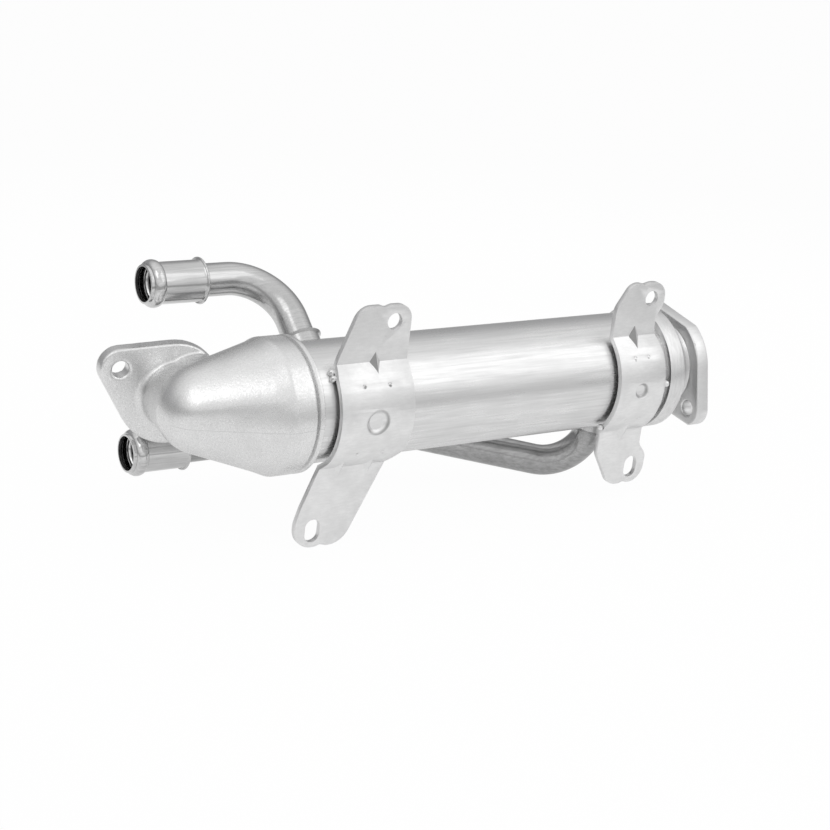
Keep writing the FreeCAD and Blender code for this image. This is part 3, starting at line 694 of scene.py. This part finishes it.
class COOLER_OT_outlet(Operator):
    """Cap and neck at the outlet end"""

    bl_idname = "cooler.outlet"
    bl_label = "Outlet cap and neck"

    def execute(self, context):
        steps = context.scene.cooler_studio.steps
        for name, outline in (
            ("cap", self.cap_outline(context.scene.cooler_body)),
            ("neck", self.neck_outline(context.scene.cooler_body)),
        ):
            bm = turned(outline, steps)
            finish_piece(name, bm, finishes()["cap"], ["outlet_" + name])
        return {"FINISHED"}

    def cap_outline(self, body):
        """The cap's skirt and shoulder, with a rounded outer edge and an eased rim."""
        face = body.shell_right + body.cap_face
        end = face - body.cap_skirt
        outline = [
            (end, body.shell_radius + BRAZE_ROOM), (body.shell_right, body.shell_radius + BRAZE_ROOM),
            (body.shell_right, body.neck_radius + BRAZE_ROOM), (face, body.neck_radius + BRAZE_ROOM),
            (face, body.cap_radius - body.cap_round),
        ]
        for step in range(1, 6):
            turn = math.radians(15.0 * step)
            outline.append((face - body.cap_round * (1.0 - math.cos(turn)),
                            body.cap_radius - body.cap_round * (1.0 - math.sin(turn))))
        ease = 0.0004
        outline += [(face - body.cap_round, body.cap_radius), (end + ease, body.cap_radius),
                    (end + ease / 4.0, body.cap_radius - ease / 4.0), (end, body.cap_radius - ease)]
        return outline

    def neck_outline(self, body):
        """The neck, which ends halfway into the flange, with its hollow weld."""
        bore = body.neck_radius - body.neck_wall
        tip = body.neck_end / 2.0
        weld = body.weld_size
        outline = [(body.shell_right, bore), (tip, bore), (tip, body.neck_radius),
                   (body.neck_end, body.neck_radius), (body.neck_end, body.neck_radius + weld)]
        for step in range(1, 4):
            turn = math.radians(22.5 * step)
            outline.append((body.neck_end - weld * math.sin(turn) * 0.95,
                            body.neck_radius + weld * (1.0 - math.sin(turn) * 0.9)))
        outline += [(body.neck_end - weld, body.neck_radius), (body.shell_right, body.neck_radius)]
        return outline


class COOLER_OT_casting(Operator):
    """Cast inlet elbow with its flange and soft fillets"""

    bl_idname = "cooler.casting"
    bl_label = "Inlet casting"

    def execute(self, context):
        bm = copied_node("inlet_casting")
        self.fill_cleft(bm)
        bm = self.smooth_skin(bm, context)
        self.raise_ridge(bm)
        self.add_lip(bm, context.scene.cooler_studio.steps)
        finish_piece("casting", bm, finishes()["cast"], ["inlet_casting"], 80.0)
        return {"FINISHED"}

    def fill_cleft(self, bm):
        """A row of round blobs between the elbow and the flange."""
        x, y, z = CLEFT_START
        for step in range(CLEFT_BLOBS):
            along = step / (CLEFT_BLOBS - 1.0)
            centre = (x + CLEFT_LENGTH * along, y, z - CLEFT_SAG * (1.0 - along) ** 2)
            bmesh.ops.create_icosphere(
                bm, subdivisions=2, radius=CLEFT_BLOB_RADIUS, matrix=Matrix.Translation(centre),
                calc_uvs=False,
            )

    def smooth_skin(self, bm, context):
        """One closed skin over the casting and its blobs, with every edge made soft."""
        mesh = bpy.data.meshes.new("casting_rough")
        bm.to_mesh(mesh)
        bm.free()
        rough = add_object("casting_rough", mesh)
        remesh = rough.modifiers.new("skin", "REMESH")
        remesh.mode = "VOXEL"
        remesh.voxel_size = SKIN_CUBE
        smooth = rough.modifiers.new("soft", "SMOOTH")
        smooth.factor = SKIN_SMOOTHING
        smooth.iterations = SKIN_ROUNDS
        held = rough.evaluated_get(context.evaluated_depsgraph_get())
        smoothed = bpy.data.meshes.new_from_object(held)
        bm = bmesh.new()
        bm.from_mesh(smoothed)
        bpy.data.objects.remove(rough)
        bpy.data.meshes.remove(smoothed)
        return bm

    def raise_ridge(self, bm):
        """A soft ridge from the elbow's nose up to the collar, over both walls of the casting."""
        for vert in bm.verts:
            crest = RIDGE_NOSE_Z + RIDGE_SLOPE * (vert.co.x - RIDGE_NOSE_X)
            gap = (vert.co.z - crest) / RIDGE_WIDTH
            front = min(max(-vert.co.y / RIDGE_FADE_DOWN, 0.0), 1.0)
            reach = min(max((RIDGE_END_X - vert.co.x) / RIDGE_FADE_END, 0.0), 1.0)
            vert.co += RIDGE_SIDE * RIDGE_HEIGHT * math.exp(-gap * gap) * front * reach

    def add_lip(self, bm, steps):
        """Closes the collar's end with a true ring that has a round outer edge."""
        start, end, bore, outer, edge, hold = -0.2672, -0.2644, 0.03252, 0.03668, 0.0005, 0.0001
        outline = [(start, bore), (end, bore), (end, outer - edge - hold)]
        for step in range(5):
            turn = math.radians(22.5 * step)
            outline.append((end - edge * (1.0 - math.cos(turn)), outer - edge * (1.0 - math.sin(turn))))
        outline += [(end - edge - hold, outer), (start + hold, outer), (start, outer - hold)]
        ring = turned(outline, steps)
        mesh = bpy.data.meshes.new("collar_lip")
        ring.to_mesh(mesh)
        ring.free()
        bm.from_mesh(mesh)
        bpy.data.meshes.remove(mesh)


class COOLER_OT_nipples(Operator):
    """Two formed hose nipples"""

    bl_idname = "cooler.nipples"
    bl_label = "Hose nipples"

    def execute(self, context):
        pipes, steps = context.scene.cooler_pipes, context.scene.cooler_studio.steps
        outline = self.nipple_outline(pipes)
        in_bore = pipes.nipple_radius - pipes.nipple_wall / 2.0
        for name, at in (("upper", pipes.upper_mouth), ("lower", pipes.lower_mouth)):
            bm = turned(outline, steps, at)
            # The bore's faces take the darker steel: painted shade inside the nipple.
            for face in bm.faces:
                out = face.calc_center_median() - Vector(at)
                out.x = 0.0
                if face.normal.dot(out.normalized()) < -0.3 and out.length < in_bore:
                    face.material_index = 1
            finish_piece(name + "_nipple", bm, finishes()["nipple"],
                         [name + "_hose_nipple"], painted_shade_material=finishes()["bore"])
        return {"FINISHED"}

    def nipple_outline(self, pipes):
        """Eased mouth, bead, straight grip and rear collar, with the bore inside them."""
        wall, grip, crown = pipes.nipple_wall, pipes.nipple_radius, pipes.bead_radius
        mouth, ease = 0.0106, 0.0004
        bead_at, bead_half = 0.005, 0.0034
        outside = [(0.0, mouth - ease), (ease * 0.3, mouth - ease * 0.3), (ease, mouth)]
        inside = [(0.0, mouth - wall)]
        for step in range(17):
            turn = math.pi * step / 16.0
            low = mouth if step < 8 else grip
            rise = (crown - low) * math.sin(turn) ** 1.3
            along = bead_at - bead_half * math.cos(turn)
            outside.append((along, low + rise))
            inside.append((along, low - wall + rise))
        end, collar, foot, curl = pipes.nipple_length, 0.0026, 0.0005, 0.0008
        start = end - collar
        outside += [(start, grip), (start + foot, grip + foot / 5.0), (start + 2.0 * foot, grip + foot)]
        for step in range(1, 10):
            turn = math.pi * step / 10.0
            outside.append((start + curl + curl * (1.0 - math.cos(turn)),
                            grip + foot + (pipes.flare_radius - grip - foot) * math.sin(turn)))
        outside.append((end, grip + foot))
        seat = pipes.pipe_radius + BRAZE_ROOM
        back = [(end, seat), (end - wall, seat), (end - wall, grip - wall)]
        return outside + back + inside[::-1]


class COOLER_OT_pipes(Operator):
    """Two bent coolant pipes"""

    bl_idname = "cooler.pipes"
    bl_label = "Coolant pipes"

    def execute(self, context):
        pipes, body = context.scene.cooler_pipes, context.scene.cooler_body
        seat = Vector((pipes.nipple_length - PIPE_IN_NIPPLE, 0.0, 0.0))
        inside = body.shell_radius - body.shell_wall - PIPE_IN_SHELL
        upper, lower = Vector(pipes.upper_mouth), Vector(pipes.lower_mouth)
        routes = {
            "upper": [(upper + seat, 0.0)],
            "lower": [(lower + seat, 0.0), ((LOWER_RUN_END, lower.y, lower.z), pipes.lower_bend)],
        }
        for name, (x, reach, turn), bend in (
            ("upper", UPPER_PORT, pipes.upper_bend), ("lower", LOWER_PORT, pipes.lower_bend)
        ):
            corners = routes[name] + [
                (self.over_shell(x, reach, turn), bend), (self.over_shell(x, inside, turn), 0.0)
            ]
            bm = bent_pipe(corners, pipes.pipe_radius, pipes.pipe_wall)
            # The lower pipe takes its darker copy: painted shade under the shell.
            steel = finishes()["pipe" if name == "upper" else "low_pipe"]
            finish_piece(name + "_pipe", bm, steel, [name + "_coolant_pipe"])
            dress_node(name + "_stub_collar", finishes()["pipe"])
        return {"FINISHED"}

    def over_shell(self, x, reach, turn):
        """A point at a reach from the shell's axis, turned up from the far side in degrees."""
        turn = math.radians(turn)
        return (x, reach * math.cos(turn), reach * math.sin(turn))


class COOLER_OT_brackets(Operator):
    """Two stamped strap brackets and the outlet flange, with softened edges"""

    bl_idname = "cooler.brackets"
    bl_label = "Brackets and outlet flange"

    def execute(self, context):
        pieces = {
            "inlet_side_bracket": ("inlet_bracket", "inlet_sheet", "bracket_steel", SHEET_EDGE),
            "outlet_side_bracket": ("outlet_bracket", "outlet_sheet", "bracket_steel", SHEET_EDGE),
            "outlet_flange": ("flange", "flange", "flange_steel", FLANGE_EDGE),
        }
        for node, (name, steel, slot, width) in pieces.items():
            bm = copied_node(node)
            if slot == "bracket_steel":
                round_bends(bm, FOLD_RADIUS)
            soften(bm, width)
            # Facets on the gussets' unlit side take the darker sheet: painted shade.
            for face in bm.faces:
                if (face.normal.dot(SHADED_GUSSET_SIDE) > SHADED_GUSSET_MATCH
                        and face.calc_center_median().z > SHADED_GUSSET_HEIGHT):
                    face.material_index = 1
            finish_piece(name, bm, finishes()[steel], [node], 40.0,
                         painted_shade_material=finishes()["pressed"], flat=is_plain_face)
        return {"FINISHED"}


class COOLER_OT_inside(Operator):
    """Finish of the gas tubes, tube sheets and baffles inside the shell"""

    bl_idname = "cooler.inside"
    bl_label = "Tubes, plates and baffles"

    def execute(self, context):
        for name in INNER_NODES:
            dress_node(name, finishes()["inner"])
        return {"FINISHED"}


class COOLER_OT_studio(Operator):
    """Pale floor, soft light and the camera"""

    bl_idname = "cooler.studio"
    bl_label = "Studio"

    def execute(self, context):
        scene, studio = context.scene, context.scene.cooler_studio
        self.lay_floor(studio)
        self.light_sky(scene, studio)
        self.add_lamp("key", KEY_PLACE, KEY_SIZE, studio.key_power)
        self.add_lamp("fill", FILL_PLACE, FILL_SIZE, studio.fill_power)
        scene.camera = self.add_camera(studio)
        scene.view_settings.view_transform = "Standard"
        return {"FINISHED"}

    def lay_floor(self, studio):
        """A wide floor just under the part."""
        bm = bmesh.new()
        bmesh.ops.create_grid(bm, x_segments=2, y_segments=2, size=FLOOR_HALF)
        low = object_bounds()[0].z - studio.floor_drop
        bmesh.ops.translate(bm, verts=bm.verts[:], vec=(0.0, 0.0, low))
        mesh = bpy.data.meshes.new("floor")
        bm.to_mesh(mesh)
        bm.free()
        mesh.materials.append(self.floor_paint(tuple(studio.floor_colour)))
        add_object("floor", mesh)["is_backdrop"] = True

    def floor_paint(self, near):
        """Paint that takes shadows, glows for the camera and the steel, and darkens far away."""
        shader = Shader("floor_paint", near, 0.0)
        rays = shader.add("ShaderNodeLightPath").outputs
        reach = shader.vector("LENGTH", shader.coordinates)
        fade = shader.ramp(reach, *FLOOR_FADE, 0.0, 1.0)
        shader.paint(shader.blend(fade, near, darker(near, 0.45)), 0.9)
        far_in_steel = shader.number("MULTIPLY", fade, rays["Is Glossy Ray"])
        glow = shader.add("ShaderNodeEmission")
        glow.inputs["Strength"].default_value = 1.0
        shader.feed(shader.blend(far_in_steel, (1.0, 1.0, 1.0), (0.5, 0.5, 0.5)), glow.inputs["Color"])
        to_steel = shader.number("MULTIPLY", rays["Is Glossy Ray"], FLOOR_TO_STEEL)
        glowing = shader.number(
            "MULTIPLY_ADD", rays["Is Camera Ray"], FLOOR_TO_CAMERA, to_steel, use_clamp=True
        )
        both = shader.mix_shaders(glowing, shader.base.outputs["BSDF"], glow.outputs["Emission"])
        shader.feed(both, shader.output.inputs["Surface"])
        return shader.material

    def light_sky(self, scene, studio):
        """White for the camera, and for the steel a sky that darkens towards the horizon."""
        world = bpy.data.worlds.new("sky")
        scene.world = world
        world.use_nodes = True
        nodes = Nodes(world.node_tree)
        output = nodes.add("ShaderNodeOutputWorld")
        rays = nodes.add("ShaderNodeLightPath")
        way = nodes.parts(nodes.add("ShaderNodeTexCoord").outputs["Generated"])
        ramp = nodes.add("ShaderNodeValToRGB")
        nodes.feed(nodes.number("MULTIPLY_ADD", way["Y"], SKY_LEAN, way["Z"]), ramp.inputs["Fac"])
        stops = ramp.color_ramp.elements
        for index, (height, tint) in enumerate(SKY_STOPS):
            stop = stops[index] if index < 2 else stops.new(height)
            stop.position, stop.color = height, tint
        band = nodes.ramp(way["Z"], 0.0, SKY_BAND, SKY_BAND_SHARE, 1.0, "LINEAR")
        sky, white = nodes.add("ShaderNodeBackground"), nodes.add("ShaderNodeBackground")
        nodes.feed(nodes.blend(1.0, ramp.outputs["Color"], band, "MULTIPLY"), sky.inputs["Color"])
        sky.inputs["Strength"].default_value = studio.sky_strength
        white.inputs["Strength"].default_value = 1.0
        both = nodes.mix_shaders(
            rays.outputs["Is Camera Ray"], sky.outputs["Background"], white.outputs["Background"]
        )
        nodes.feed(both, output.inputs["Surface"])

    def add_lamp(self, name, stand, size, power):
        """A square soft lamp that looks at the middle of the part."""
        data = bpy.data.lights.new(name, "AREA")
        data.shape = "SQUARE"
        data.size = size
        data.energy = power
        lamp = add_object(name, data)
        turn = (Vector(LAMP_TARGET) - Vector(stand)).to_track_quat("-Z", "Y").to_matrix().to_4x4()
        lamp.matrix_world = Matrix.Translation(stand) @ turn

    def add_camera(self, studio):
        """The camera at the photograph's angle."""
        data = bpy.data.cameras.new("camera")
        data.lens = studio.lens
        data.sensor_width = SENSOR_WIDTH
        camera = add_object("camera", data)
        back = CAMERA_RIGHT.cross(CAMERA_UP)
        turn = Matrix((CAMERA_RIGHT, CAMERA_UP, back)).transposed().to_4x4()
        camera.matrix_world = Matrix.Translation(studio.camera_place) @ turn
        return camera


class COOLER_PT_panel(Panel):
    """Lists the cooler's operators"""

    bl_idname = "COOLER_PT_panel"
    bl_label = "Exhaust gas cooler"
    bl_space_type = "VIEW_3D"
    bl_region_type = "UI"
    bl_category = "Cooler"

    def draw(self, context):
        for operator in OPERATORS:
            self.layout.operator(operator.bl_idname)


OPERATORS = (
    COOLER_OT_shell, COOLER_OT_outlet, COOLER_OT_casting, COOLER_OT_nipples, COOLER_OT_pipes,
    COOLER_OT_brackets, COOLER_OT_inside, COOLER_OT_studio,
)


def register():
    """Registers the cooler's classes and hangs its groups on the scene."""
    for name, group in GROUPS:
        bpy.utils.register_class(group)
        setattr(bpy.types.Scene, name, PointerProperty(type=group))
    for item in (*OPERATORS, COOLER_PT_panel):
        bpy.utils.register_class(item)


def unregister():
    """Takes all of it away again."""
    for item in reversed((*OPERATORS, COOLER_PT_panel)):
        bpy.utils.unregister_class(item)
    for name, group in reversed(GROUPS):
        delattr(bpy.types.Scene, name)
        bpy.utils.unregister_class(group)


def main():
    """Builds the cooler and its studio."""
    register()
    bpy.ops.cooler.shell()
    bpy.ops.cooler.outlet()
    bpy.ops.cooler.casting()
    bpy.ops.cooler.nipples()
    bpy.ops.cooler.pipes()
    bpy.ops.cooler.brackets()
    bpy.ops.cooler.inside()
    bpy.ops.cooler.studio()


if __name__ == "__main__":
    main()
